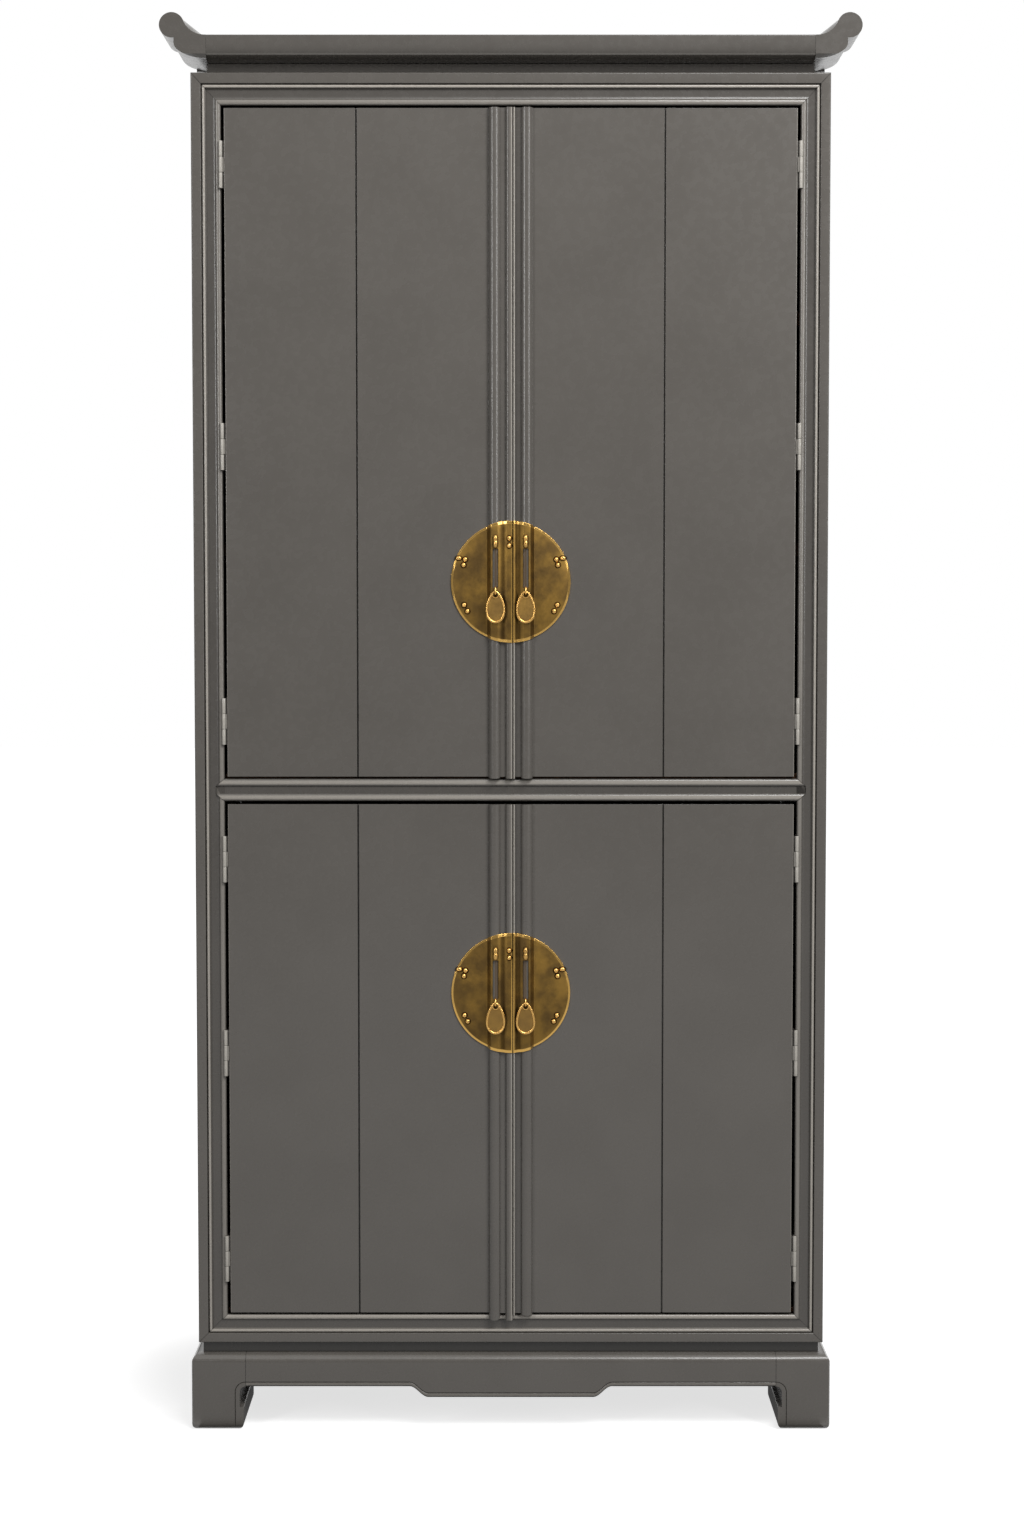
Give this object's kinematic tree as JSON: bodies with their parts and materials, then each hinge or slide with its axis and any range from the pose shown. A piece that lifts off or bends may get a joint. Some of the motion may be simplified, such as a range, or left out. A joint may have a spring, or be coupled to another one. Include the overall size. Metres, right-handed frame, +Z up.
{
  "type": "two-tier cabinet",
  "caption": "Tall lacquered cabinet with hinged upper and lower doors, a moulded face frame, a scrolled roof board, bracket feet and round brass lock plates with drop handles.",
  "frame": {"origin": "on the floor, under the middle of the cabinet's box", "axes": "+Z up, -Y out of the front, +X to the right seen from the front"},
  "size_m": [1.0098, 0.508, 2.0696],
  "materials": {
    "lacquer": "satin warm grey lacquer",
    "veneer": "oiled walnut veneer",
    "brass": "antique brass",
    "lacquered_steel": "satin warm grey lacquer over steel"
  },
  "bodies": {
    "cabinet": {"front_apron": "lacquer", "left_apron": "lacquer", "right_apron": "lacquer", "back_rail": "lacquer", "front_left_foot": "lacquer", "front_right_foot": "lacquer", "back_left_foot": "lacquer", "back_right_foot": "lacquer", "plinth_neck_board": "lacquer", "left_side": "lacquer", "right_side": "lacquer", "bottom_board": "veneer", "middle_board": "veneer", "top_board": "veneer", "back_panel": "veneer", "upper_shelf_1": "veneer", "upper_shelf_2": "veneer", "lower_shelf_1": "veneer", "left_stile": "lacquer", "right_stile": "lacquer", "top_rail": "lacquer", "middle_rail": "lacquer", "bottom_rail": "lacquer", "roof_neck_board": "lacquer", "roof_board": "lacquer", "left_scroll_end": "lacquer", "right_scroll_end": "lacquer", "upper_left_door_hinge_1": "lacquered_steel", "upper_left_door_hinge_2": "lacquered_steel", "upper_left_door_hinge_3": "lacquered_steel", "upper_right_door_hinge_1": "lacquered_steel", "upper_right_door_hinge_2": "lacquered_steel", "upper_right_door_hinge_3": "lacquered_steel", "lower_left_door_hinge_1": "lacquered_steel", "lower_left_door_hinge_2": "lacquered_steel", "lower_left_door_hinge_3": "lacquered_steel", "lower_right_door_hinge_1": "lacquered_steel", "lower_right_door_hinge_2": "lacquered_steel", "lower_right_door_hinge_3": "lacquered_steel"},
    "upper_left_leaf": {"upper_left_door": "lacquer", "upper_left_door_strip": "lacquer", "upper_left_door_plate": "brass", "upper_left_door_eye": "brass"},
    "upper_right_leaf": {"upper_right_door": "lacquer", "upper_right_door_strip": "lacquer", "upper_right_door_plate": "brass", "upper_right_door_eye": "brass"},
    "lower_left_leaf": {"lower_left_door": "lacquer", "lower_left_door_strip": "lacquer", "lower_left_door_plate": "brass", "lower_left_door_eye": "brass"},
    "lower_right_leaf": {"lower_right_door": "lacquer", "lower_right_door_strip": "lacquer", "lower_right_door_plate": "brass", "lower_right_door_eye": "brass"},
    "upper_left_handle": {"upper_left_door_drop": "brass"},
    "upper_right_handle": {"upper_right_door_drop": "brass"},
    "lower_left_handle": {"lower_left_door_drop": "brass"},
    "lower_right_handle": {"lower_right_door_drop": "brass"}
  },
  "joints": [
    {"name": "upper_left_door_swing", "type": "hinge", "parent": "cabinet", "child": "upper_left_leaf", "pos_m": [-0.4201, -0.2315, 1.4537], "axis": [0, 0, -1], "range_deg": [0, 165]},
    {"name": "upper_right_door_swing", "type": "hinge", "parent": "cabinet", "child": "upper_right_leaf", "pos_m": [0.4201, -0.2315, 1.4537], "axis": [0, 0, 1], "range_deg": [0, 165]},
    {"name": "lower_left_door_swing", "type": "hinge", "parent": "cabinet", "child": "lower_left_leaf", "pos_m": [-0.4201, -0.2315, 0.55135], "axis": [0, 0, -1], "range_deg": [0, 165]},
    {"name": "lower_right_door_swing", "type": "hinge", "parent": "cabinet", "child": "lower_right_leaf", "pos_m": [0.4201, -0.2315, 0.55135], "axis": [0, 0, 1], "range_deg": [0, 165]},
    {"name": "upper_left_drop_swing", "type": "hinge", "parent": "upper_left_leaf", "child": "upper_left_handle", "pos_m": [-0.0223, -0.2447, 1.24], "axis": [-1, 0, 0], "range_deg": [0, 85]},
    {"name": "upper_right_drop_swing", "type": "hinge", "parent": "upper_right_leaf", "child": "upper_right_handle", "pos_m": [0.0218, -0.2447, 1.24], "axis": [-1, 0, 0], "range_deg": [0, 85]},
    {"name": "lower_left_drop_swing", "type": "hinge", "parent": "lower_left_leaf", "child": "lower_left_handle", "pos_m": [-0.0223, -0.2447, 0.637], "axis": [-1, 0, 0], "range_deg": [0, 85]},
    {"name": "lower_right_drop_swing", "type": "hinge", "parent": "lower_right_leaf", "child": "lower_right_handle", "pos_m": [0.0218, -0.2447, 0.637], "axis": [-1, 0, 0], "range_deg": [0, 85]}
  ]
}
